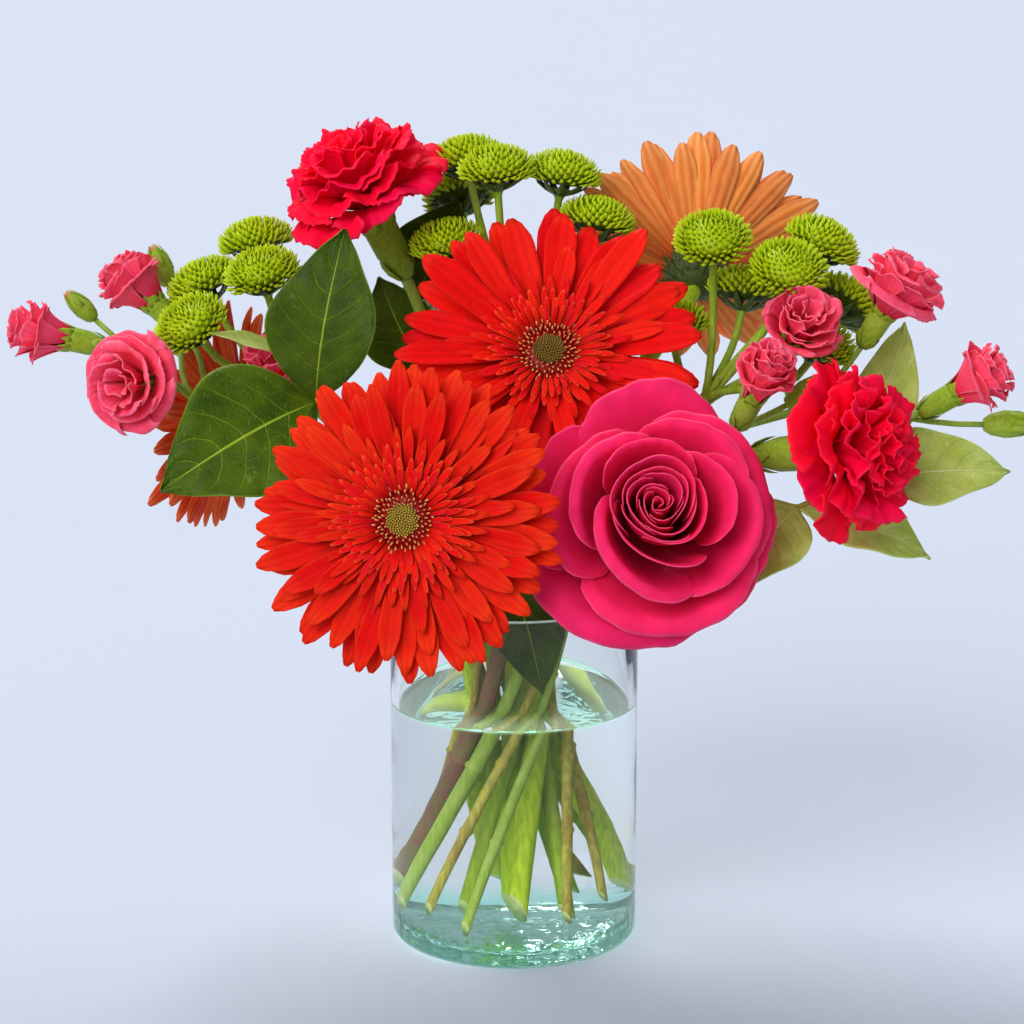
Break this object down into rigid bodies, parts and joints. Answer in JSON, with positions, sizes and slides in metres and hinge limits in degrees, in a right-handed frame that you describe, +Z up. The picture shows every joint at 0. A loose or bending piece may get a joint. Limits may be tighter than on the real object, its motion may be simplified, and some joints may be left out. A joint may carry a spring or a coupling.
{
  "type": "gerberas in a vase",
  "caption": "Clear glass cylinder vase of water that holds a mixed bouquet of gerberas, a rose, carnations, green button chrysanthemums and leafy twigs.",
  "frame": {"origin": "centre of the vase's flat foot, on the surface that it stands on", "axes": "+Z up along the vase's axis; the bouquet's front looks along -Y, with +X to its right as seen from the front"},
  "size_m": [0.4049, 0.1982, 0.3273],
  "materials": {
    "vase_glass": "clear polished glass with a faint green tint",
    "water": "clear water",
    "gerbera_scarlet": "satin petal, scarlet with an orange cast",
    "gerbera_red": "satin petal, pure red",
    "gerbera_orange": "satin petal, pale orange seen from the back",
    "gerbera_rust": "satin petal, rust red with orange backs",
    "gerbera_eye": "matte florets, olive yellow",
    "gerbera_stem": "downy stem and bracts, pale lime green",
    "rose_petal": "velvety petal, hot pink",
    "carnation_petal": "matte ruffled petal, carmine red",
    "spray_petal": "matte ruffled petal, coral pink",
    "pom_floret": "satin florets, lime green",
    "stem": "smooth stem and calyx, mid green",
    "leaf": "glossy leathery leaf, dark green with a pale rib"
  },
  "bodies": {
    "root": {"carnation_side_petals": "carnation_petal", "carnation_side_stem": "stem", "carnation_top_petals": "carnation_petal", "carnation_top_stem": "stem", "foliage_back": "leaf", "foliage_centre": "leaf", "foliage_front": "leaf", "foliage_left": "leaf", "foliage_right": "leaf", "gerbera_back_eye": "gerbera_eye", "gerbera_back_petals": "gerbera_orange", "gerbera_back_stem": "gerbera_stem", "gerbera_centre_eye": "gerbera_eye", "gerbera_centre_petals": "gerbera_red", "gerbera_centre_stem": "gerbera_stem", "gerbera_front_eye": "gerbera_eye", "gerbera_front_petals": "gerbera_scarlet", "gerbera_front_stem": "gerbera_stem", "gerbera_left_eye": "gerbera_eye", "gerbera_left_petals": "gerbera_rust", "gerbera_left_stem": "gerbera_stem", "poms_left_head_1": "pom_floret", "poms_left_head_2": "pom_floret", "poms_left_head_3": "pom_floret", "poms_left_head_4": "pom_floret", "poms_left_stem": "stem", "poms_right_head_1": "pom_floret", "poms_right_head_2": "pom_floret", "poms_right_head_3": "pom_floret", "poms_right_head_4": "pom_floret", "poms_right_head_5": "pom_floret", "poms_right_head_6": "pom_floret", "poms_right_head_7": "pom_floret", "poms_right_stem": "stem", "poms_top_head_1": "pom_floret", "poms_top_head_2": "pom_floret", "poms_top_head_3": "pom_floret", "poms_top_head_4": "pom_floret", "poms_top_head_5": "pom_floret", "poms_top_head_6": "pom_floret", "poms_top_stem": "stem", "rose_petals": "rose_petal", "rose_stem": "stem", "spray_left_bloom_1": "spray_petal", "spray_left_bloom_2": "spray_petal", "spray_left_bloom_3": "spray_petal", "spray_left_bloom_4": "spray_petal", "spray_left_stem": "stem", "spray_right_bloom_1": "spray_petal", "spray_right_bloom_2": "spray_petal", "spray_right_bloom_3": "spray_petal", "spray_right_bloom_4": "spray_petal", "spray_right_stem": "stem", "vase": "vase_glass", "water": "water"}
  },
  "joints": []
}
